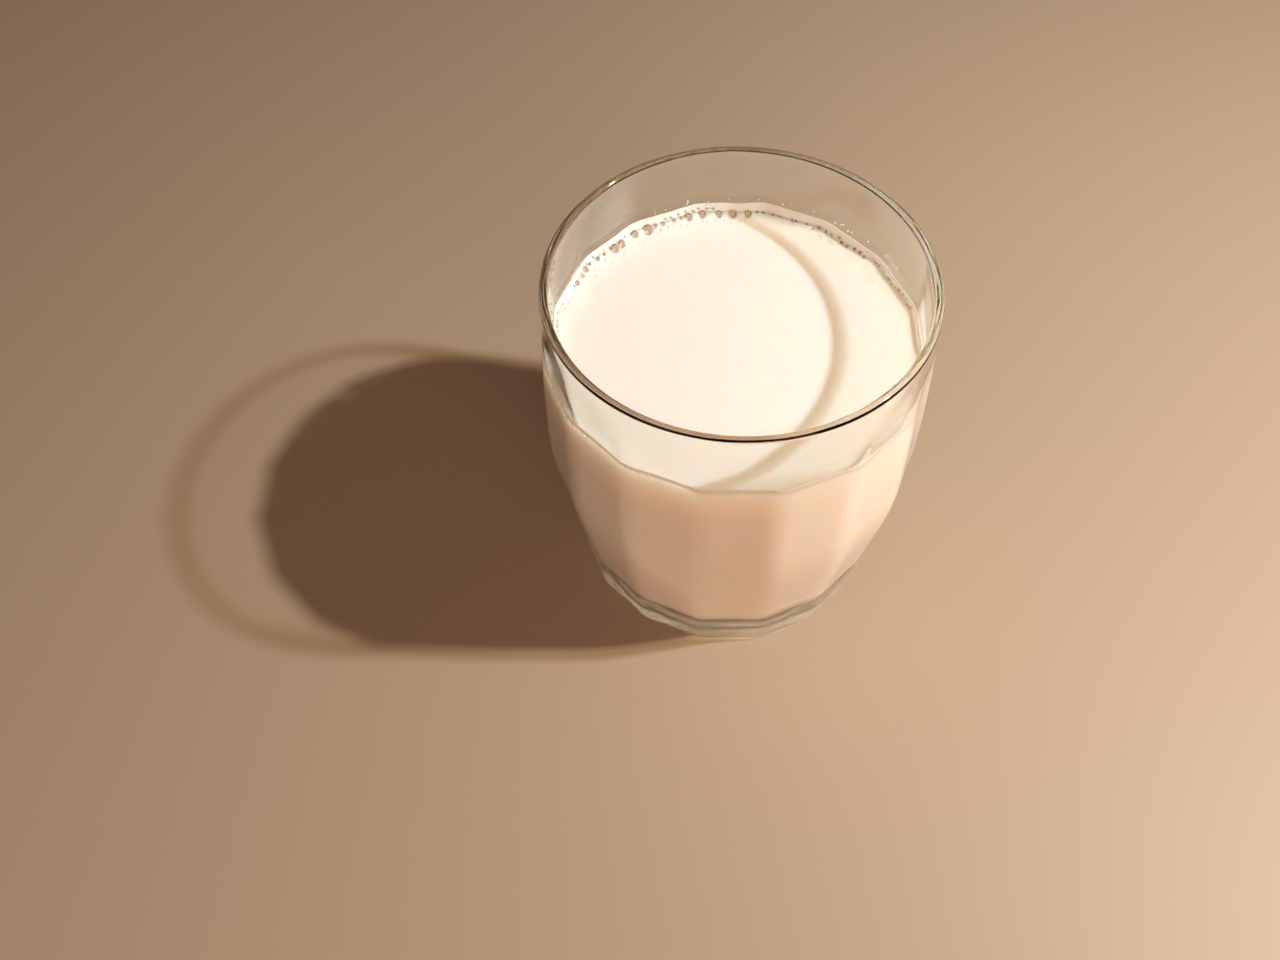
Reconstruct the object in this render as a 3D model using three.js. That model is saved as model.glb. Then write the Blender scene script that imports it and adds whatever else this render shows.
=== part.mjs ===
// A sixteen-sided tumbler of clear moulded glass, filled with milk to 18.5 mm below its rim.
// Millimetres, +Z up. The origin is the centre of the foot, on the surface that it stands on.
import * as THREE from "three";

// Tumbler: outside, measured over the facet corners.
const rimRadius = 40;
const height = 88;
const bellyRadius = 42.15;
const bellyHeight = 46;
const footRadius = 36.3;
const footRound = 2.6;

// Tumbler: wall and base. The underside has a shallow dish, so the foot stands on a ring.
const rimWall = 1.8;
const bodyWall = 2.7;
const thinFrom = 58;
const thinTo = 78;
const floorThickness = 9;
const floorRound = 7;
const dishRadius = 31;
const dishRise = 1.6;

// Facets: flat panels that run up the body and die out below the round rim.
const facetCount = 16;
const facetHollow = 0.2;
const innerFacetDepth = 0.95;
const fadeStart = height - 16;
const fadeEnd = height - 3;

// Milk.
const milkLevel = height - 18.5;
const milkGap = 0.3;

// Mesh fineness.
const stepsPerFacet = 4;
const dishSteps = 5;
const footSteps = 4;
const bodySteps = 17;
const lipSteps = 6;
const innerSteps = 13;
const floorSteps = 5;

const facetAngle = (2 * Math.PI) / facetCount;

function smoothStep(from, to, value) {
  const t = THREE.MathUtils.clamp((value - from) / (to - from), 0, 1);
  return t * t * (3 - 2 * t);
}

// The outside swells in an S from the foot to the belly, then leans in a little up to the rim.
function outerRadius(z) {
  if (z < bellyHeight) {
    return THREE.MathUtils.lerp(footRadius, bellyRadius, smoothStep(0, bellyHeight, z));
  }
  const t = (z - bellyHeight) / (height - bellyHeight);
  return THREE.MathUtils.lerp(bellyRadius, rimRadius, t * t);
}

// The wall is even in the body, and thins a little towards the rim.
function innerRadius(z) {
  const thinned = smoothStep(thinFrom, thinTo, z);
  return outerRadius(z) - THREE.MathUtils.lerp(bodyWall, rimWall, thinned);
}

// How far the cross-section has turned from a circle into a polygon at this height.
function facetShare(z) {
  return 1 - smoothStep(fadeStart, fadeEnd, z);
}

// The radius at this angle, as a share of the radius over the corners. Flats face the X and Y axes.
function facetFactor(angle, share, cornerRadius) {
  const half = facetAngle / 2;
  const fromFlat = angle - facetAngle * Math.round(angle / facetAngle);
  const flat = Math.cos(half) / Math.cos(fromFlat);
  const hollow = (facetHollow / cornerRadius) * (1 - (fromFlat / half) ** 2);
  return 1 - share * (1 - flat + hollow);
}

function heightsBetween(low, high, steps) {
  return Array.from({ length: steps + 1 }, (_, i) => THREE.MathUtils.lerp(low, high, i / steps));
}

// Points on an arc, from one angle to another.
function arc(centreRadius, centreZ, radius, fromAngle, toAngle, steps) {
  return heightsBetween(fromAngle, toAngle, steps).map(
    (a) => new THREE.Vector2(centreRadius + radius * Math.cos(a), centreZ + radius * Math.sin(a)),
  );
}

// The round dish in the underside, from its centre out to the foot ring.
function dishProfile() {
  return heightsBetween(0, 1, dishSteps).map(
    (share) => new THREE.Vector2(dishRadius * share, dishRise * (1 - share * share)),
  );
}

// From the foot ring to the outside wall, up to where the lip starts.
function outerProfile() {
  const foot = arc(
    outerRadius(footRound) - footRound, footRound, footRound, -Math.PI / 2, 0, footSteps);
  const wall = heightsBetween(footRound, height - rimWall / 2, bodySteps).slice(1);
  return [...foot, ...wall.map((z) => new THREE.Vector2(outerRadius(z), z))];
}

// The half-round bead of the lip, over to the inside wall.
function lipProfile() {
  const lipZ = height - rimWall / 2;
  const points = arc(outerRadius(lipZ) - rimWall / 2, lipZ, rimWall / 2, 0, Math.PI, lipSteps);
  return points.slice(1);
}

// The inside, from a height down to the centre of the floor. An inset draws it in on every side.
function innerProfile(topZ, inset) {
  const floorZ = floorThickness + inset;
  const bend = floorRound - inset;
  const bendZ = floorZ + bend;
  const bendRadius = innerRadius(bendZ) - inset;
  const wall = heightsBetween(topZ, bendZ, innerSteps);
  const corner = arc(bendRadius - bend, bendZ, bend, 0, -Math.PI / 2, floorSteps).slice(1);
  return [
    ...wall.map((z) => new THREE.Vector2(innerRadius(z) - inset, z)),
    ...corner,
    new THREE.Vector2(0, floorZ),
  ];
}

// Turns a profile about the Z axis, and presses facets of the given depth into each of its points.
function facetedBody(profile, depths) {
  const geometry = new THREE.LatheGeometry(profile, facetCount * stepsPerFacet, facetAngle / 2);
  geometry.rotateX(Math.PI / 2);
  const position = geometry.getAttribute("position");
  for (let i = 0; i < position.count; i++) {
    const point = i % profile.length;
    const radius = profile[point].x;
    if (radius === 0) continue;
    const x = position.getX(i);
    const y = position.getY(i);
    const share = facetShare(profile[point].y) * depths[point];
    const factor = facetFactor(Math.atan2(y, x), share, radius);
    position.setXY(i, x * factor, y * factor);
  }
  geometry.computeVertexNormals();
  return geometry;
}

function makeTumbler() {
  const dish = dishProfile();
  const outside = [...outerProfile(), ...lipProfile()];
  const inside = innerProfile(height - rimWall / 2, 0).slice(1);
  const depths = [
    ...dish.map(() => 0),
    ...outside.map(() => 1),
    ...inside.map(() => innerFacetDepth),
  ];
  const glass = new THREE.MeshStandardMaterial({
    color: 0xe9ece4,
    roughness: 0.03,
    metalness: 0,
    transparent: true,
    opacity: 0.35,
  });
  const tumbler = new THREE.Mesh(facetedBody([...dish, ...outside, ...inside], depths), glass);
  tumbler.name = "tumbler";
  return tumbler;
}

function makeMilk() {
  const surface = new THREE.Vector2(0, milkLevel);
  const profile = [...innerProfile(milkLevel, milkGap).reverse(), surface];
  const depths = profile.map(() => innerFacetDepth);
  const cream = new THREE.MeshStandardMaterial({ color: 0xfff5e8, roughness: 0.3, metalness: 0 });
  const milk = new THREE.Mesh(facetedBody(profile, depths), cream);
  milk.name = "milk";
  return milk;
}

const glassOfMilk = new THREE.Group();
glassOfMilk.name = "glass_of_milk";
glassOfMilk.add(makeTumbler(), makeMilk());

export default glassOfMilk;
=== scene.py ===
import math
import random

import bpy
import bmesh
from mathutils import Matrix, Vector, noise


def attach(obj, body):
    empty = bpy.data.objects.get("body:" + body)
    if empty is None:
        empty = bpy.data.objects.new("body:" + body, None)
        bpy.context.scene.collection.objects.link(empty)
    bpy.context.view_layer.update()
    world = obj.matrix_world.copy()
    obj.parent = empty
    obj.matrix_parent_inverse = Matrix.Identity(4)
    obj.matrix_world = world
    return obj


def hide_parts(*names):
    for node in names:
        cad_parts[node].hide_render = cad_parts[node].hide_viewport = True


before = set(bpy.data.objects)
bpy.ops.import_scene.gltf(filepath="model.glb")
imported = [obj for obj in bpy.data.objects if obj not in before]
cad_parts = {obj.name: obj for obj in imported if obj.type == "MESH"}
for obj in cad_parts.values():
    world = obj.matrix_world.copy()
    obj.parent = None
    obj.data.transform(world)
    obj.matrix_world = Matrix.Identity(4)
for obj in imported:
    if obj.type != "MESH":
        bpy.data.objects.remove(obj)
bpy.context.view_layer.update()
mm = 0.001

# sixteen-sided tumbler, moulded in one piece: sizes over the facet corners, in millimetres
tumbler = {
    "rimRadius": 40.0, "height": 88.0,
    "bellyRadius": 42.15, "bellyHeight": 46.0,
    "footRadius": 36.3, "footRound": 2.6,
    "rimWall": 1.8, "bodyWall": 2.7,
    "thinFrom": 58.0, "thinTo": 78.0,          # heights between which the wall thins towards the rim
    "floorThickness": 9.0, "floorRound": 7.0,
    "dishRadius": 31.0, "dishRise": 1.6,       # the shallow dish in the underside, inside the foot ring
    "facets": 16, "stepsPerFacet": 14,
    "hollow": 0.2,             # how far each flat dips below a straight line between its corners
    "softCorner": 0.16,        # share of a half facet that the rounded corner takes
    "innerDepth": 0.95,        # the inside facets are a little shallower than the outside ones
    "fadeStart": 72.0, "fadeEnd": 85.0,   # heights between which the facets die out
}

# milk, with its meniscus against the wall and pits where the bubbles sit
milk = {
    "level": 69.5,
    "intoWall": 0.06,          # it reaches this far into the glass, so that no air gap shows
    "meniscusRise": 1.0, "meniscusReach": 1.2, "meniscusFall": 1.6,
    "filmTop": 72.2, "filmThickness": 0.28,   # the coat of milk that clings to the wall above the level
    "stepsPerFacet": 18, "fineRows": 34, "fineStep": 0.11, "wideRows": 10, "wideGrowth": 0.32,
    "frothRelief": 0.05, "frothWidth": 2.6,
    "edgeRelief": 0.16, "edgeSlant": 0.38,    # the film's top edge is uneven, and higher at the back
    "edgeFade": 0.7,           # the pour left it low on the right
    "edgeGrain": 9, "frothGrain": 1.4, "sharpAngle": 38,
}

# bubbles left round the edge after pouring: between which degrees round the rim, how many, their
# smallest and largest radius in millimetres, how far they may stray in from the wall, their lift up
# the film, and how high they sit in radii
froth = {
    "seed": 7,
    "film": 0.965,             # inner over outer radius of a bubble's skin
    "smallestSkin": 0.28,      # smaller bubbles are only pits
    "sunk": 0.5,               # bubbles that sit this high or more are seen as pits from above
    "onWall": 0.55,            # a bubble's centre is this share of its radius from the wall
    "climb": 0.45,             # share of the meniscus that a bubble climbs
    "jitter": 0.3,             # how far a bubble strays from even spacing, in spacings
    "tries": 30,               # places tried before a bubble is left out
    # from, to, count, small, large, stray, lift, sit
    "groups": [
        (83, 106, 5, 0.95, 1.1, 0.0, 0.0, 0.3),
        (119, 138, 4, 0.95, 1.3, 0.15, 0.0, 0.3),
        (95, 114, 8, 0.36, 0.5, 0.0, 1.5, 0.3),
        (106, 119, 4, 0.5, 0.72, 0.1, 0.3, 0.3),
        (138, 156, 6, 0.45, 0.95, 0.3, 0.2, 0.3),
        (128, 150, 8, 0.26, 0.4, 0.0, 1.3, 0.3),
        (62, 83, 7, 0.28, 0.44, 0.1, 0.3, 0.3),
        (38, 62, 10, 0.26, 0.5, 0.8, 0.2, 0.4),
        (12, 38, 14, 0.18, 0.36, 0.8, 0.3, 0.4),
        (84, 150, 26, 0.4, 0.8, 3.0, 0.0, 0.84),
        (156, 200, 44, 0.18, 0.42, 1.3, 0.7, 0.4),
        (30, 195, 40, 0.12, 0.2, 0.5, 1.5, 0.3),
        (196, 222, 8, 0.3, 0.5, 0.0, 0.5, 0.2),
        (222, 244, 9, 0.14, 0.26, 0.3, 0.4, 0.3),
    ],
}

# drops that the pour left on the wall just above the milk
drops = {
    "seed": 11, "count": 22, "from": 25, "to": 120,
    "small": 0.12, "large": 0.26, "lowest": 3.6, "highest": 4.8,
}

cameraSetup = {
    "lens": 32.79, "location": (-13.6, -163.5, 256.6),
    "pitch": 55.61, "roll": -2.33, "yaw": 2.75,
}

studio = {
    "keyAt": (405, -44, 452), "keySize": 24, "keyPower": 4.1, "keyColor": "FFF7EA",
    "fillAt": (-500, -300, 900), "fillSize": 900, "fillPower": 1.4, "fillColor": "FFE2CE",
    "bounceAt": (260, -900, 250), "bounceSize": 700, "bouncePower": 4.3, "bounceColor": "FFC2A0",
    "world": "C9A68C", "worldStrength": 0.16,
    "floorSize": 4000, "floor": "B09D89", "floorGap": 0.05,
    "turns": 7,                # how often light may turn inside the glass, as it does down the lip
}


def linear(hexColor):
    # sRGB hex to linear RGBA
    values = [int(hexColor[i:i + 2], 16) / 255 for i in (0, 2, 4)]
    return tuple(v / 12.92 if v <= 0.04045 else ((v + 0.055) / 1.055) ** 2.4 for v in values) + (1.0,)


def addNode(tree, kind, settings=None, inputs=None):
    # one node with its settings; an input takes a value or another node's output
    node = tree.nodes.new(kind)
    for key, value in (settings or {}).items():
        setattr(node, key, value)
    for socket, value in (inputs or {}).items():
        if isinstance(value, bpy.types.NodeSocket):
            tree.links.new(value, node.inputs[socket])
        else:
            node.inputs[socket].default_value = value
    return node


def newMaterial(name):
    material = bpy.data.materials.new(name)
    material.use_nodes = True
    material.node_tree.nodes.clear()
    return material


def smoothStep(low, high, value):
    t = min(max((value - low) / (high - low), 0), 1)
    return t * t * (3 - 2 * t)


def outerRadius(z):
    # swells in an S from the foot to the belly, then leans in to the rim
    t = tumbler
    if z < t["bellyHeight"]:
        share = smoothStep(0, t["bellyHeight"], z)
        return t["footRadius"] + (t["bellyRadius"] - t["footRadius"]) * share
    share = ((z - t["bellyHeight"]) / (t["height"] - t["bellyHeight"])) ** 2
    return t["bellyRadius"] + (t["rimRadius"] - t["bellyRadius"]) * share


def innerRadius(z):
    t = tumbler
    thinned = smoothStep(t["thinFrom"], t["thinTo"], z)
    return outerRadius(z) - (t["bodyWall"] + (t["rimWall"] - t["bodyWall"]) * thinned)


def facetShare(z):
    return 1 - smoothStep(tumbler["fadeStart"], tumbler["fadeEnd"], z)


def facetFactor(angle, share, radius):
    # the radius at this angle as a share of the radius over the corners, as the node tree has it
    whole = 2 * math.pi / tumbler["facets"]
    half = whole / 2
    soft = tumbler["softCorner"]
    fromFlat = abs(angle - whole * round(angle / whole))
    limit, reach = half * (1 - soft), half * soft
    blend = max(reach - abs(fromFlat - limit), 0) / reach
    softened = min(fromFlat, limit) - blend ** 3 * reach / 6
    hollow = tumbler["hollow"] / radius * (1 - (softened / half) ** 2)
    return 1 - share * (1 - math.cos(half) / math.cos(softened) + hollow)


def spread(low, high, steps):
    return [low + (high - low) * i / steps for i in range(steps + 1)]


def arc(centreR, centreZ, radius, fromAngle, toAngle, steps):
    return [(centreR + radius * math.cos(a), centreZ + radius * math.sin(a))
            for a in spread(fromAngle, toAngle, steps)]


def insideProfile(topZ, inset, wallSteps):
    # down the inside wall from topZ, round the bend and in along the floor
    t = tumbler
    bend = t["floorRound"] - inset
    floorZ = t["floorThickness"] + inset
    bendZ = floorZ + bend
    bendR = innerRadius(bendZ) - inset
    wall = [(innerRadius(z) - inset, z) for z in spread(topZ, bendZ, wallSteps)]
    corner = arc(bendR - bend, bendZ, bend, 0, -math.pi / 2, 24)[1:]
    floorR = corner[-1][0]
    return wall + corner + [(floorR * s, floorZ) for s in (0.75, 0.5, 0.25, 0)]


def tumblerProfile():
    t = tumbler
    lipZ = t["height"] - t["rimWall"] / 2
    footR = outerRadius(t["footRound"]) - t["footRound"]
    dish = [(t["dishRadius"] * s, t["dishRise"] * (1 - s * s)) for s in spread(0, 1, 20)]
    ring = [(t["dishRadius"] + (footR - t["dishRadius"]) * s, 0) for s in (0.3, 0.6, 0.85)]
    under = dish + ring
    foot = arc(footR, t["footRound"], t["footRound"], -math.pi / 2, 0, 8)
    outside = [(outerRadius(z), z) for z in spread(t["footRound"], lipZ, 64)][1:]
    lip = arc(outerRadius(lipZ) - t["rimWall"] / 2, lipZ, t["rimWall"] / 2, 0, math.pi, 16)[1:]
    inside = insideProfile(lipZ, 0, 56)[1:]
    points = under + foot + outside + lip + inside
    plain = len(points) - len(dish) - len(inside)
    depths = [0.0] * len(dish) + [1.0] * plain + [t["innerDepth"]] * len(inside)
    return points, [facetShare(z) * d for (r, z), d in zip(points, depths)]


def meniscus(fromWall):
    # how far the milk's surface stands above its level, this far in from the wall
    return milk["meniscusRise"] * math.exp(-fromWall / milk["meniscusReach"] * milk["meniscusFall"])


def milkProfile():
    m = milk
    side = insideProfile(m["filmTop"], -m["intoWall"], 30)[::-1]
    # down the film on the wall to the meniscus
    edgeZ = m["level"] + m["meniscusRise"]
    film = [(innerRadius(z) - m["filmThickness"] * min(1, 0.35 + (m["filmTop"] - z) / 3), z)
            for z in spread(m["filmTop"], edgeZ, 22)]
    wallR = film[-1][0]
    top = []
    for i in range(1, m["fineRows"] + m["wideRows"] + 1):
        # rows close together near the wall, then wider towards the middle
        fromWall = m["fineStep"] * min(i, m["fineRows"])
        if i > m["fineRows"]:
            fromWall += (i - m["fineRows"]) ** 2 * m["wideGrowth"]
        top.append((wallR - fromWall, m["level"] + meniscus(fromWall)))
    points = side + film + top + [(0, m["level"])]
    return points, [facetShare(z) * tumbler["innerDepth"] for r, z in points]


def facetedTurningTree():
    # turns a profile of (radius, height) points about Z and presses the facets into it
    tree = bpy.data.node_groups.new("facetedTurning", "GeometryNodeTree")
    face = tree.interface
    face.new_socket("Profile", in_out="INPUT", socket_type="NodeSocketGeometry")
    face.new_socket("Facets", in_out="INPUT", socket_type="NodeSocketInt")
    face.new_socket("Steps per Facet", in_out="INPUT", socket_type="NodeSocketInt")
    face.new_socket("Hollow", in_out="INPUT", socket_type="NodeSocketFloat")
    face.new_socket("Soft Corner", in_out="INPUT", socket_type="NodeSocketFloat")
    face.new_socket("Finish", in_out="INPUT", socket_type="NodeSocketMaterial")
    face.new_socket("Mesh", in_out="OUTPUT", socket_type="NodeSocketGeometry")
    given = addNode(tree, "NodeGroupInput").outputs

    size = addNode(tree, "GeometryNodeAttributeDomainSize", {"component": "MESH"},
                   {0: given["Profile"]})
    lastRow = addNode(tree, "ShaderNodeMath", {"operation": "SUBTRACT"},
                      {0: size.outputs["Point Count"], 1: 1.0})
    columns = addNode(tree, "ShaderNodeMath", {"operation": "MULTIPLY_ADD"},
                      {0: given["Facets"], 1: given["Steps per Facet"], 2: 1.0})
    grid = addNode(tree, "GeometryNodeMeshGrid", None, {
        "Size X": 2 * math.pi, "Size Y": lastRow.outputs[0],
        "Vertices X": columns.outputs[0], "Vertices Y": size.outputs["Point Count"]})

    place = addNode(tree, "GeometryNodeInputPosition")
    parts = addNode(tree, "ShaderNodeSeparateXYZ", None, {0: place.outputs[0]})
    angle = parts.outputs["X"]
    fromMiddle = addNode(tree, "ShaderNodeMath", {"operation": "MULTIPLY_ADD"},
                         {0: lastRow.outputs[0], 1: 0.5, 2: parts.outputs["Y"]})
    row = addNode(tree, "ShaderNodeMath", {"operation": "ROUND"}, {0: fromMiddle.outputs[0]})
    profilePlace = addNode(tree, "GeometryNodeSampleIndex", {"data_type": "FLOAT_VECTOR", "domain": "POINT"},
                           {"Geometry": given["Profile"], "Value": place.outputs[0], "Index": row.outputs[0]})
    shareName = addNode(tree, "GeometryNodeInputNamedAttribute", {"data_type": "FLOAT"},
                        {"Name": "facetShare"})
    share = addNode(tree, "GeometryNodeSampleIndex", {"data_type": "FLOAT", "domain": "POINT"},
                    {"Geometry": given["Profile"], "Value": shareName.outputs[0], "Index": row.outputs[0]})
    profileParts = addNode(tree, "ShaderNodeSeparateXYZ", None, {0: profilePlace.outputs[0]})
    radius, height = profileParts.outputs["X"], profileParts.outputs["Z"]

    half = addNode(tree, "ShaderNodeMath", {"operation": "DIVIDE"},
                   {0: math.pi, 1: given["Facets"]})
    minusHalf = addNode(tree, "ShaderNodeMath", {"operation": "MULTIPLY"},
                        {0: half.outputs[0], 1: -1.0})
    wrapped = addNode(tree, "ShaderNodeMath", {"operation": "WRAP"},
                      {0: angle, 1: half.outputs[0], 2: minusHalf.outputs[0]})
    fromFlat = addNode(tree, "ShaderNodeMath", {"operation": "ABSOLUTE"}, {0: wrapped.outputs[0]})
    reach = addNode(tree, "ShaderNodeMath", {"operation": "MULTIPLY"},
                    {0: half.outputs[0], 1: given["Soft Corner"]})
    limit = addNode(tree, "ShaderNodeMath", {"operation": "SUBTRACT"},
                    {0: half.outputs[0], 1: reach.outputs[0]})
    softened = addNode(tree, "ShaderNodeMath", {"operation": "SMOOTH_MIN"},
                       {0: fromFlat.outputs[0], 1: limit.outputs[0], 2: reach.outputs[0]})

    cosHalf = addNode(tree, "ShaderNodeMath", {"operation": "COSINE"}, {0: half.outputs[0]})
    cosHere = addNode(tree, "ShaderNodeMath", {"operation": "COSINE"}, {0: softened.outputs[0]})
    flat = addNode(tree, "ShaderNodeMath", {"operation": "DIVIDE"},
                   {0: cosHalf.outputs[0], 1: cosHere.outputs[0]})
    across = addNode(tree, "ShaderNodeMath", {"operation": "DIVIDE"},
                     {0: softened.outputs[0], 1: half.outputs[0]})
    squared = addNode(tree, "ShaderNodeMath", {"operation": "MULTIPLY"},
                      {0: across.outputs[0], 1: across.outputs[0]})
    bowl = addNode(tree, "ShaderNodeMath", {"operation": "SUBTRACT"},
                   {0: 1.0, 1: squared.outputs[0]})
    depth = addNode(tree, "ShaderNodeMath", {"operation": "DIVIDE"},
                    {0: given["Hollow"], 1: radius})
    hollow = addNode(tree, "ShaderNodeMath", {"operation": "MULTIPLY"},
                     {0: depth.outputs[0], 1: bowl.outputs[0]})
    kept = addNode(tree, "ShaderNodeMath", {"operation": "SUBTRACT"},
                   {0: flat.outputs[0], 1: hollow.outputs[0]})
    lost = addNode(tree, "ShaderNodeMath", {"operation": "SUBTRACT"}, {0: 1.0, 1: kept.outputs[0]})
    drawnIn = addNode(tree, "ShaderNodeMath", {"operation": "MULTIPLY"},
                      {0: share.outputs[0], 1: lost.outputs[0]})
    factor = addNode(tree, "ShaderNodeMath", {"operation": "SUBTRACT"},
                     {0: 1.0, 1: drawnIn.outputs[0]})
    here = addNode(tree, "ShaderNodeMath", {"operation": "MULTIPLY"},
                   {0: radius, 1: factor.outputs[0]})

    cosAngle = addNode(tree, "ShaderNodeMath", {"operation": "COSINE"}, {0: angle})
    sinAngle = addNode(tree, "ShaderNodeMath", {"operation": "SINE"}, {0: angle})
    x = addNode(tree, "ShaderNodeMath", {"operation": "MULTIPLY"},
                {0: here.outputs[0], 1: cosAngle.outputs[0]})
    y = addNode(tree, "ShaderNodeMath", {"operation": "MULTIPLY"},
                {0: here.outputs[0], 1: sinAngle.outputs[0]})
    target = addNode(tree, "ShaderNodeCombineXYZ", None,
                     {"X": x.outputs[0], "Y": y.outputs[0], "Z": height})

    moved = addNode(tree, "GeometryNodeSetPosition", None,
                    {"Geometry": grid.outputs["Mesh"], "Position": target.outputs[0]})
    merged = addNode(tree, "GeometryNodeMergeByDistance", None,
                     {"Geometry": moved.outputs[0], "Distance": 0.002 * mm})
    smooth = addNode(tree, "GeometryNodeSetShadeSmooth", None, {"Geometry": merged.outputs[0]})
    real = addNode(tree, "GeometryNodeRealizeInstances", None, {"Geometry": smooth.outputs[0]})
    finished = addNode(tree, "GeometryNodeSetMaterial", None,
                       {"Geometry": real.outputs[0], "Material": given["Finish"]})
    addNode(tree, "NodeGroupOutput", None, {0: finished.outputs[0]})
    return tree


def scatterTree():
    # puts one bead on every point, at the point's own size and turn
    tree = bpy.data.node_groups.new("scatterBeads", "GeometryNodeTree")
    face = tree.interface
    face.new_socket("Points", in_out="INPUT", socket_type="NodeSocketGeometry")
    face.new_socket("Bead", in_out="INPUT", socket_type="NodeSocketObject")
    face.new_socket("Size", in_out="INPUT", socket_type="NodeSocketFloat")
    face.new_socket("Finish", in_out="INPUT", socket_type="NodeSocketMaterial")
    face.new_socket("Mesh", in_out="OUTPUT", socket_type="NodeSocketGeometry")
    given = addNode(tree, "NodeGroupInput").outputs
    bead = addNode(tree, "GeometryNodeObjectInfo", {"transform_space": "ORIGINAL"},
                   {"Object": given["Bead"]})
    radius = addNode(tree, "GeometryNodeInputNamedAttribute", {"data_type": "FLOAT"},
                     {"Name": "beadRadius"})
    turn = addNode(tree, "GeometryNodeInputNamedAttribute", {"data_type": "FLOAT_VECTOR"},
                   {"Name": "beadTurn"})
    scale = addNode(tree, "ShaderNodeMath", {"operation": "MULTIPLY"},
                    {0: radius.outputs[0], 1: given["Size"]})
    placed = addNode(tree, "GeometryNodeInstanceOnPoints", None, {
        "Points": given["Points"], "Instance": bead.outputs["Geometry"],
        "Rotation": turn.outputs[0], "Scale": scale.outputs[0]})
    real = addNode(tree, "GeometryNodeRealizeInstances", None, {"Geometry": placed.outputs[0]})
    smooth = addNode(tree, "GeometryNodeSetShadeSmooth", None, {"Geometry": real.outputs[0]})
    finished = addNode(tree, "GeometryNodeSetMaterial", None,
                       {"Geometry": smooth.outputs[0], "Material": given["Finish"]})
    addNode(tree, "NodeGroupOutput", None, {0: finished.outputs[0]})
    return tree


def pointsObject(name, points, attributes):
    mesh = bpy.data.meshes.new(name)
    mesh.from_pydata([Vector(p) * mm for p in points], [], [])
    for key, values in attributes.items():
        isVector = isinstance(values[0], (tuple, Vector))
        layer = mesh.attributes.new(key, "FLOAT_VECTOR" if isVector else "FLOAT", "POINT")
        for item, value in zip(layer.data, values):
            if isVector:
                item.vector = value
            else:
                item.value = value
    thing = bpy.data.objects.new(name, mesh)
    bpy.context.scene.collection.objects.link(thing)
    return thing


def growWithNodes(thing, tree, inputs):
    # runs the tree on the object and keeps the result as a plain mesh
    modifier = thing.modifiers.new("shape", "NODES")
    modifier.node_group = tree
    for socket in tree.interface.items_tree:
        if socket.in_out == "INPUT" and socket.name in inputs:
            modifier[socket.identifier] = inputs[socket.name]
    graph = bpy.context.evaluated_depsgraph_get()
    mesh = bpy.data.meshes.new_from_object(thing.evaluated_get(graph), depsgraph=graph)
    mesh.name = thing.name
    thing.modifiers.clear()
    thing.data = mesh
    for key in [a.name for a in mesh.attributes if a.name in ("facetShare", "beadRadius", "beadTurn")]:
        mesh.attributes.remove(mesh.attributes[key])
    return thing


def faceOutwards(thing):
    made = bmesh.new()
    made.from_mesh(thing.data)
    bmesh.ops.recalc_face_normals(made, faces=made.faces)
    if made.calc_volume(signed=True) < 0:
        bmesh.ops.reverse_faces(made, faces=made.faces)
    made.to_mesh(thing.data)
    made.free()


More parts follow.
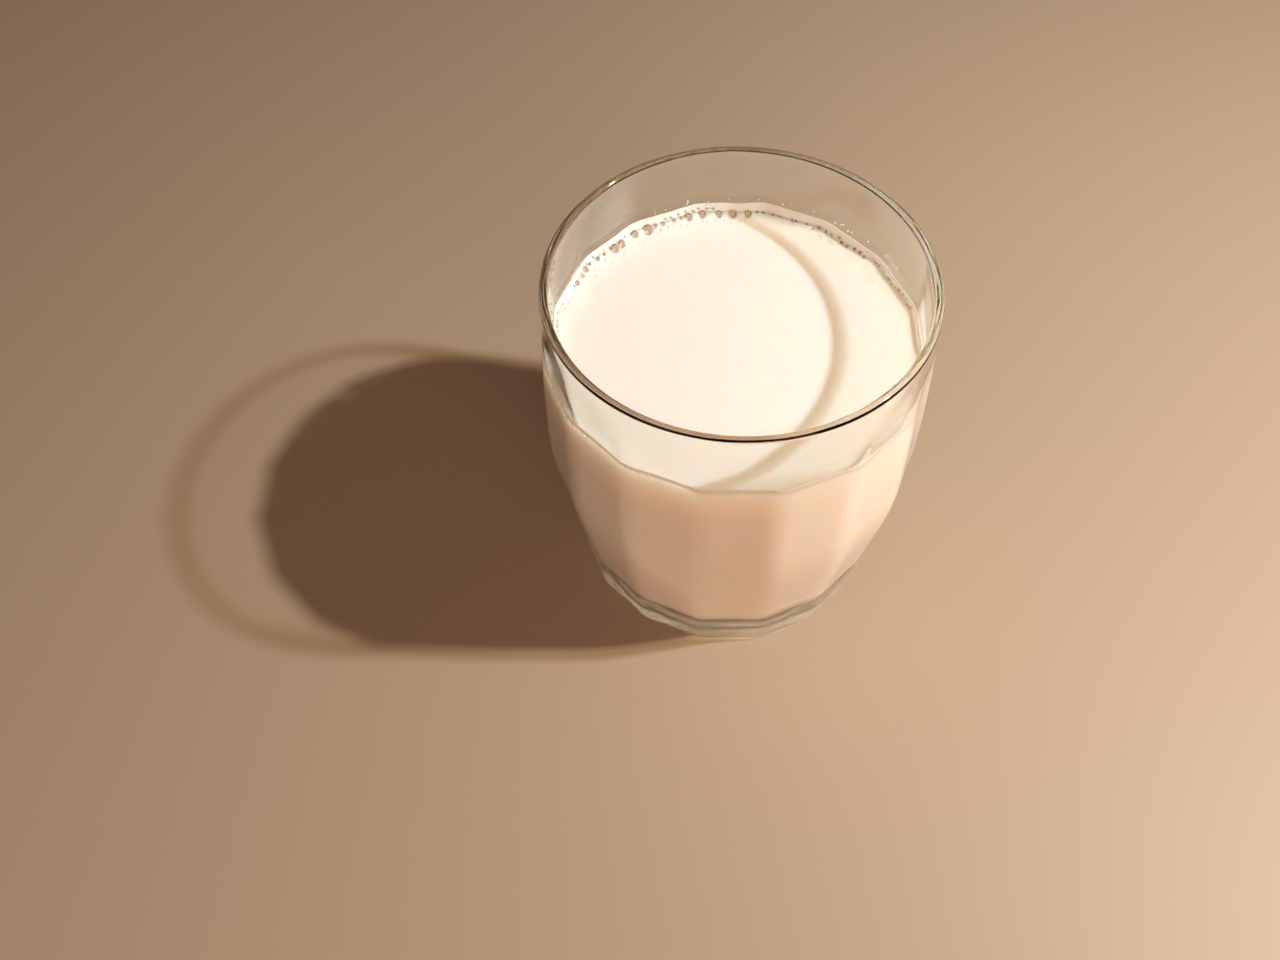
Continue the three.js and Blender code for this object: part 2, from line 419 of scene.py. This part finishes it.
def sodaLimeGlass():
    # clear soda-lime glass, moulded and fire-polished: smooth, faintly wavy, olive only where thick
    material = newMaterial("moulded soda-lime glass")
    tree = material.node_tree
    where = addNode(tree, "ShaderNodeTexCoord").outputs["Object"]
    waves = addNode(tree, "ShaderNodeTexNoise", None,
                    {"Vector": where, "Scale": 1 / (14 * mm), "Detail": 1.0})
    bump = addNode(tree, "ShaderNodeBump", None,
                   {"Height": waves.outputs["Fac"], "Strength": 0.12, "Distance": 0.3 * mm})
    glass = addNode(tree, "ShaderNodeBsdfPrincipled", None, {
        "Base Color": linear("FEFDFA"), "Roughness": 0.0, "IOR": 1.51, "Transmission Weight": 1.0,
        "Normal": bump.outputs["Normal"]})
    # lamps shine through, but the rounded lip and walls seen edge on send the light aside
    edge = addNode(tree, "ShaderNodeLayerWeight", None, {"Blend": 0.5})
    grazing = addNode(tree, "ShaderNodeMapRange", None, {
        "Value": edge.outputs["Facing"], "From Min": 0.6, "From Max": 1.0})
    height = addNode(tree, "ShaderNodeSeparateXYZ", None, {"Vector": where}).outputs["Z"]
    atLip = addNode(tree, "ShaderNodeMapRange", None, {
        "Value": height, "From Min": (tumbler["height"] - 2.4) * mm,
        "From Max": (tumbler["height"] - 1.2) * mm})
    bent = addNode(tree, "ShaderNodeMath", {"operation": "MAXIMUM"}, {
        0: grazing.outputs["Result"], 1: atLip.outputs["Result"]})
    tint = addNode(tree, "ShaderNodeMix", {"data_type": "RGBA"}, {
        0: bent.outputs[0], 6: linear("FCFCFA"), 7: linear("D8CCBB")})
    clear = addNode(tree, "ShaderNodeBsdfTransparent", None, {"Color": tint.outputs[2]})
    # diffuse light bends as in real glass in the thick base, and passes straight through above it
    path = addNode(tree, "ShaderNodeLightPath")
    aboveBase = addNode(tree, "ShaderNodeMath", {"operation": "GREATER_THAN"}, {
        0: height, 1: (tumbler["floorThickness"] + 1) * mm})
    soft = addNode(tree, "ShaderNodeMath", {"operation": "MULTIPLY"}, {
        0: path.outputs["Is Diffuse Ray"], 1: aboveBase.outputs[0]})
    passes = addNode(tree, "ShaderNodeMath", {"operation": "MAXIMUM"}, {
        0: path.outputs["Is Shadow Ray"], 1: soft.outputs[0]})
    mixed = addNode(tree, "ShaderNodeMixShader", None, {
        0: passes.outputs[0], 1: glass.outputs[0], 2: clear.outputs[0]})
    depth = addNode(tree, "ShaderNodeVolumeAbsorption", None,
                    {"Color": linear("BFB08C"), "Density": 20.0})
    addNode(tree, "ShaderNodeOutputMaterial", None,
            {"Surface": mixed.outputs[0], "Volume": depth.outputs[0]})
    return material


def wholeMilk():
    # whole milk: bright, soft-edged and slightly warm, because light wanders a few mm under the surface
    material = newMaterial("whole milk")
    tree = material.node_tree
    where = addNode(tree, "ShaderNodeTexCoord").outputs["Object"]
    cream = addNode(tree, "ShaderNodeTexNoise", None,
                    {"Vector": where, "Scale": 1 / (9 * mm), "Detail": 3.0})
    tone = addNode(tree, "ShaderNodeMix", {"data_type": "RGBA"}, {
        0: cream.outputs["Fac"], 6: linear("FFFBF5"), 7: linear("FEF8EF")})
    ripple = addNode(tree, "ShaderNodeBump", None,
                     {"Height": cream.outputs["Fac"], "Strength": 0.05, "Distance": 0.2 * mm})
    parts = addNode(tree, "ShaderNodeSeparateXYZ", None, {"Vector": where}).outputs
    height = parts["Z"]
    facing = addNode(tree, "ShaderNodeNewGeometry").outputs["Normal"]
    upward = addNode(tree, "ShaderNodeSeparateXYZ", None, {"Vector": facing}).outputs["Z"]
    # painted glow: emission in faint scalloped streaks on the underside stands in for the light that the
    # facets gather in the thick base
    around = addNode(tree, "ShaderNodeMath", {"operation": "ARCTAN2"},
                     {0: parts["Y"], 1: parts["X"]})
    eachFacet = addNode(tree, "ShaderNodeMath", {"operation": "MULTIPLY"}, {
        0: around.outputs[0], 1: float(tumbler["facets"])})
    scallop = addNode(tree, "ShaderNodeMath", {"operation": "COSINE"}, {0: eachFacet.outputs[0]})
    level = addNode(tree, "ShaderNodeVectorMath", {"operation": "MULTIPLY"},
                    {0: where, 1: (1.0, 1.0, 0.0)})
    fromMiddle = addNode(tree, "ShaderNodeVectorMath", {"operation": "LENGTH"},
                         {0: level.outputs[0]})
    lobes = addNode(tree, "ShaderNodeMath", {"operation": "MULTIPLY_ADD"}, {
        0: scallop.outputs[0], 1: 0.035, 2: 1.0})
    petals = addNode(tree, "ShaderNodeMath", {"operation": "MULTIPLY"}, {
        0: lobes.outputs[0], 1: fromMiddle.outputs["Value"]})
    spot = addNode(tree, "ShaderNodeCombineXYZ", None, {
        "X": petals.outputs[0], "Y": parts["X"], "Z": parts["Y"]})
    streaks = addNode(tree, "ShaderNodeTexWave", {"wave_type": "BANDS", "bands_direction": "X"}, {
        "Vector": spot.outputs[0], "Scale": 0.314 / (8 * mm), "Distortion": 3.0, "Detail": 1.0})
    patches = addNode(tree, "ShaderNodeTexNoise", None,
                      {"Vector": where, "Scale": 1 / (11 * mm), "Detail": 2.0})
    broken = addNode(tree, "ShaderNodeMapRange", None, {
        "Value": patches.outputs["Fac"], "From Min": 0.35, "From Max": 0.65, "To Min": 0.1, "To Max": 0.36})
    lit = addNode(tree, "ShaderNodeMath", {"operation": "MULTIPLY_ADD"}, {
        0: streaks.outputs["Fac"], 1: broken.outputs["Result"], 2: 0.06})
    underside = addNode(tree, "ShaderNodeMapRange", None, {
        "Value": height, "From Min": (tumbler["floorThickness"] + 0.2) * mm,
        "From Max": (tumbler["floorThickness"] + 0.7) * mm, "To Min": 1.0, "To Max": 0.0})
    paintedGlow = addNode(tree, "ShaderNodeMath", {"operation": "MULTIPLY"}, {
        0: lit.outputs[0], 1: underside.outputs["Result"]})
    # painted shade: the milk's colour is darkened towards brown where it bends away under the wall
    below = addNode(tree, "ShaderNodeMapRange", {"interpolation_type": "SMOOTHSTEP"}, {
        "Value": upward, "From Min": -0.98, "From Max": -0.86, "To Min": 0.0, "To Max": 0.8})
    beside = addNode(tree, "ShaderNodeMapRange", {"interpolation_type": "SMOOTHSTEP"}, {
        "Value": upward, "From Min": -0.84, "From Max": -0.5, "To Min": 1.0, "To Max": 0.0})
    bend = addNode(tree, "ShaderNodeMath", {"operation": "MULTIPLY"}, {
        0: below.outputs["Result"], 1: beside.outputs["Result"]})
    withPaintedShade = addNode(tree, "ShaderNodeMix", {"data_type": "RGBA"}, {
        0: bend.outputs[0], 6: tone.outputs[2], 7: linear("6B533B")})
    # the sunlit top shines a few mm down the side, while shadows on the top stay crisp
    wander = addNode(tree, "ShaderNodeMapRange", None, {
        "Value": height, "From Min": (milk["level"] - 16) * mm, "From Max": milk["level"] * mm,
        "To Min": 6.0 * mm, "To Max": 16.0 * mm})
    reach = addNode(tree, "ShaderNodeMapRange", None, {
        "Value": upward, "From Min": 0.3, "From Max": 0.8, "To Min": wander.outputs["Result"],
        "To Max": 3.5 * mm})
    # the film on the wall is so thin that light comes through it from behind
    inFilm = addNode(tree, "ShaderNodeMapRange", None, {
        "Value": height, "From Min": (milk["level"] + 0.5) * mm, "From Max": (milk["level"] + 1.2) * mm,
        "To Min": reach.outputs["Result"], "To Max": 0.5 * mm})
    milkSurface = addNode(tree, "ShaderNodeBsdfPrincipled", None, {
        "Base Color": withPaintedShade.outputs[2], "Roughness": 0.34, "IOR": 1.35, "Specular IOR Level": 0.35,
        # the emission is the painted glow on the underside, not a lamp
        "Emission Color": linear("FFE9CC"), "Emission Strength": paintedGlow.outputs[0],
        "Subsurface Weight": 1.0, "Subsurface Radius": (1.0, 0.64, 0.42),
        "Subsurface Scale": inFilm.outputs["Result"],
        "Normal": ripple.outputs["Normal"]})
    addNode(tree, "ShaderNodeOutputMaterial", None, {"Surface": milkSurface.outputs[0]})
    return material


def bubbleFilm():
    # a thin film of milk round air: nearly clear, with a wet shine
    material = newMaterial("milk bubble film")
    tree = material.node_tree
    film = addNode(tree, "ShaderNodeBsdfPrincipled", None, {
        "Base Color": linear("FBF6F0"), "Roughness": 0.02, "IOR": 1.34, "Transmission Weight": 0.9})
    clear = addNode(tree, "ShaderNodeBsdfTransparent", None, {"Color": linear("FAF8F5")})
    path = addNode(tree, "ShaderNodeLightPath")
    passes = addNode(tree, "ShaderNodeMath", {"operation": "MAXIMUM"}, {
        0: path.outputs["Is Shadow Ray"], 1: path.outputs["Is Diffuse Ray"]})
    mixed = addNode(tree, "ShaderNodeMixShader", None, {
        0: passes.outputs[0], 1: film.outputs[0], 2: clear.outputs[0]})
    addNode(tree, "ShaderNodeOutputMaterial", None, {"Surface": mixed.outputs[0]})
    return material


def floorPaint():
    material = newMaterial("pale matt floor")
    tree = material.node_tree
    paint = addNode(tree, "ShaderNodeBsdfPrincipled", None, {
        "Base Color": linear(studio["floor"]), "Roughness": 0.55})
    addNode(tree, "ShaderNodeOutputMaterial", None, {"Surface": paint.outputs[0]})
    return material


def makeTumbler(tree, finish):
    points, shares = tumblerProfile()
    thing = pointsObject("tumbler_glass", [(r, 0, z) for r, z in points], {"facetShare": shares})
    growWithNodes(thing, tree, {
        "Facets": tumbler["facets"], "Steps per Facet": tumbler["stepsPerFacet"],
        "Hollow": tumbler["hollow"] * mm, "Soft Corner": tumbler["softCorner"], "Finish": finish})
    faceOutwards(thing)
    return thing


def wallPoint(degrees, z, inset):
    # a point on the inside wall, drawn in by inset
    angle = math.radians(degrees)
    radius = innerRadius(z)
    share = facetShare(z) * tumbler["innerDepth"]
    radius = radius * facetFactor(angle, share, radius) - inset
    return Vector((radius * math.cos(angle), radius * math.sin(angle), z))


def placeBubbles():
    # bubbles crowd against the wall, half sunk in the milk, and never overlap by much
    rng = random.Random(froth["seed"])
    placed = []
    for group in froth["groups"]:
        first, last, count, small, large, stray, lift, sit = group
        gap = (last - first) / count
        for i in range(count):
            for attempt in range(froth["tries"]):
                radius = rng.uniform(small, large)
                jitter = rng.uniform(-froth["jitter"], froth["jitter"]) * (1 + attempt / 6)
                degrees = first + gap * (i + 0.5 + jitter)
                inset = radius * froth["onWall"] + rng.uniform(0, 1) ** 1.3 * stray
                climb = meniscus(inset) * froth["climb"]
                z = milk["level"] + climb + radius * sit + rng.uniform(0.6, 1) * lift
                place = wallPoint(degrees, z, inset)
                if all((place - other["place"]).length > radius + other["radius"] for other in placed):
                    placed.append({"place": place, "radius": radius, "degrees": degrees, "inset": inset,
                                   "skin": radius > froth["smallestSkin"] and sit < froth["sunk"]})
                    break
    return placed


def makeMilk(tree, finish, bubbles):
    points, shares = milkProfile()
    thing = pointsObject("milk_fill", [(r, 0, z) for r, z in points], {"facetShare": shares})
    growWithNodes(thing, tree, {
        "Facets": tumbler["facets"], "Steps per Facet": milk["stepsPerFacet"],
        "Hollow": tumbler["hollow"] * mm, "Soft Corner": tumbler["softCorner"], "Finish": finish})
    faceOutwards(thing)
    # the froth is slightly uneven near the wall, and so is the top edge of the film
    edgeZ = milk["level"] + milk["meniscusRise"]
    for vertex in thing.data.vertices:
        co = vertex.co / mm
        if co.z > edgeZ:
            around = co.xy.normalized()
            uneven = noise.noise((around.x * milk["edgeGrain"], around.y * milk["edgeGrain"], 4.0))
            rise = 1 + milk["edgeRelief"] * uneven + milk["edgeSlant"] * around.y
            rise -= milk["edgeFade"] * smoothStep(0.3, 0.95, around.x)
            vertex.co.z = (edgeZ + (co.z - edgeZ) * rise) * mm
        if co.z > milk["level"] - 0.01:
            nearWall = max(0, 1 - (innerRadius(milk["level"]) - co.xy.length) / milk["frothWidth"])
            vertex.co.z += milk["frothRelief"] * nearWall * noise.noise(co * milk["frothGrain"]) * mm
    # each bubble leaves a round hole, open to the glass where the bubble touches it
    made = bmesh.new()
    for bubble in bubbles:
        radius = bubble["radius"]
        turn = Matrix.Translation(bubble["place"] * mm) @ Matrix.Rotation(bubble["degrees"], 4, "Y")
        fineness = 3 if radius > 0.25 else 2
        bmesh.ops.create_icosphere(made, subdivisions=fineness, radius=radius * mm, matrix=turn)
    holes = bpy.data.objects.new("bubble_holes", bpy.data.meshes.new("bubble_holes"))
    made.to_mesh(holes.data)
    made.free()
    bpy.context.scene.collection.objects.link(holes)
    cut = thing.modifiers.new("holes", "BOOLEAN")
    cut.operation = "DIFFERENCE"
    cut.solver = "MANIFOLD"
    cut.object = holes
    graph = bpy.context.evaluated_depsgraph_get()
    mesh = bpy.data.meshes.new_from_object(thing.evaluated_get(graph), depsgraph=graph)
    thing.modifiers.clear()
    thing.data = mesh
    bpy.data.objects.remove(holes)
    mesh.set_sharp_from_angle(angle=math.radians(milk["sharpAngle"]))
    return thing


def beadObject(name, film):
    # a round bead of a few dozen faces; a bubble also has an inner skin
    made = bmesh.new()
    bmesh.ops.create_icosphere(made, subdivisions=2, radius=1.0)
    if film:
        inner = bmesh.ops.create_icosphere(made, subdivisions=2, radius=film)["verts"]
        bmesh.ops.reverse_faces(made, faces=list({f for v in inner for f in v.link_faces}))
    mesh = bpy.data.meshes.new(name)
    made.to_mesh(mesh)
    made.free()
    return bpy.data.objects.new(name, mesh)


def makeBubbles(tree, finish, bubbles):
    # each skin touches the wall from inside, so it is a little smaller than its hole
    bead = beadObject("bubble_bead", froth["film"])
    places, radii = [], []
    for bubble in bubbles:
        if bubble["skin"]:
            skin = min(bubble["radius"], (bubble["radius"] + bubble["inset"]) / 2)
            places.append(wallPoint(bubble["degrees"], bubble["place"].z, max(bubble["inset"], skin)))
            radii.append(skin * 0.98)
    thing = pointsObject("froth_bubbles", places, {
        "beadRadius": radii, "beadTurn": [(0.3 * i, 0.7 * i, 0) for i in range(len(radii))]})
    growWithNodes(thing, tree, {"Bead": bead, "Size": mm, "Finish": finish})
    bpy.data.objects.remove(bead)
    return thing


def makeDrops(tree, finish):
    rng = random.Random(drops["seed"])
    bead = beadObject("drop_bead", 0)
    places, radii, turns = [], [], []
    for i in range(drops["count"]):
        radius = rng.uniform(drops["small"], drops["large"])
        z = milk["level"] + rng.uniform(drops["lowest"], drops["highest"])
        degrees = rng.uniform(drops["from"], drops["to"])
        places.append(wallPoint(degrees, z, radius * 0.25))
        radii.append(radius)
        turns.append((0, 0, math.radians(degrees)))
    thing = pointsObject("wall_drops", places, {"beadRadius": radii, "beadTurn": turns})
    growWithNodes(thing, tree, {"Bead": bead, "Size": mm, "Finish": finish})
    bpy.data.objects.remove(bead)
    return thing


def makeFloor():
    half = studio["floorSize"] * mm / 2
    mesh = bpy.data.meshes.new("floor")
    low = -studio["floorGap"] * mm   # a hair of air stays under the foot
    corners = [(-half, -half, low), (half, -half, low), (half, half, low), (-half, half, low)]
    mesh.from_pydata(corners, [], [(0, 1, 2, 3)])
    floor = bpy.data.objects.new("floor", mesh)
    bpy.context.scene.collection.objects.link(floor)
    floor.data.materials.append(floorPaint())


def addLamp(name, place, size, power, color):
    light = bpy.data.lights.new(name, "AREA")
    light.shape = "DISK"
    light.size = size * mm
    light.energy = power
    light.color = linear(color)[:3]
    lamp = bpy.data.objects.new(name, light)
    lamp.location = Vector(place) * mm
    aim = Vector((0, 0, 45)) * mm - lamp.location
    lamp.rotation_euler = aim.to_track_quat("-Z", "Y").to_euler()
    bpy.context.scene.collection.objects.link(lamp)


def makeStage():
    makeFloor()
    s = studio
    addLamp("key", s["keyAt"], s["keySize"], s["keyPower"], s["keyColor"])
    addLamp("fill", s["fillAt"], s["fillSize"], s["fillPower"], s["fillColor"])
    addLamp("bounce", s["bounceAt"], s["bounceSize"], s["bouncePower"], s["bounceColor"])
    world = bpy.data.worlds.new("room")
    world.use_nodes = True
    backdrop = world.node_tree.nodes["Background"]
    backdrop.inputs["Color"].default_value = linear(s["world"])
    backdrop.inputs["Strength"].default_value = s["worldStrength"]
    scene = bpy.context.scene
    scene.world = world
    scene.view_settings.view_transform = "Standard"
    scene.cycles.glossy_bounces = s["turns"]


def makeCamera():
    c = cameraSetup
    data = bpy.data.cameras.new("view")
    data.lens = c["lens"]
    data.sensor_width = 36
    data.clip_start = 0.01
    camera = bpy.data.objects.new("view", data)
    turn = (Matrix.Rotation(math.radians(c["yaw"]), 4, "Z")
            @ Matrix.Rotation(math.radians(90 - c["pitch"]), 4, "X")
            @ Matrix.Rotation(math.radians(c["roll"]), 4, "Z"))
    camera.matrix_world = Matrix.Translation(Vector(c["location"]) * mm) @ turn
    bpy.context.scene.collection.objects.link(camera)
    bpy.context.scene.camera = camera


makeCamera()
makeStage()
print("stage and camera ready")

turning = facetedTurningTree()
scatter = scatterTree()
milkFinish = wholeMilk()

glassPiece = makeTumbler(turning, sodaLimeGlass())
print("tumbler:", len(glassPiece.data.polygons), "faces")

bubbles = placeBubbles()
milkPiece = makeMilk(turning, milkFinish, bubbles)
print("milk:", len(milkPiece.data.polygons), "faces")

bubblePiece = makeBubbles(scatter, bubbleFilm(), bubbles)
dropPiece = makeDrops(scatter, milkFinish)
print("froth:", len(bubbles), "bubbles")

for piece, slot in ((glassPiece, "clear_glass"), (milkPiece, "milk"),
                    (bubblePiece, "milk"), (dropPiece, "milk")):
    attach(piece, "root")
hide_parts("tumbler")
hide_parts("milk")
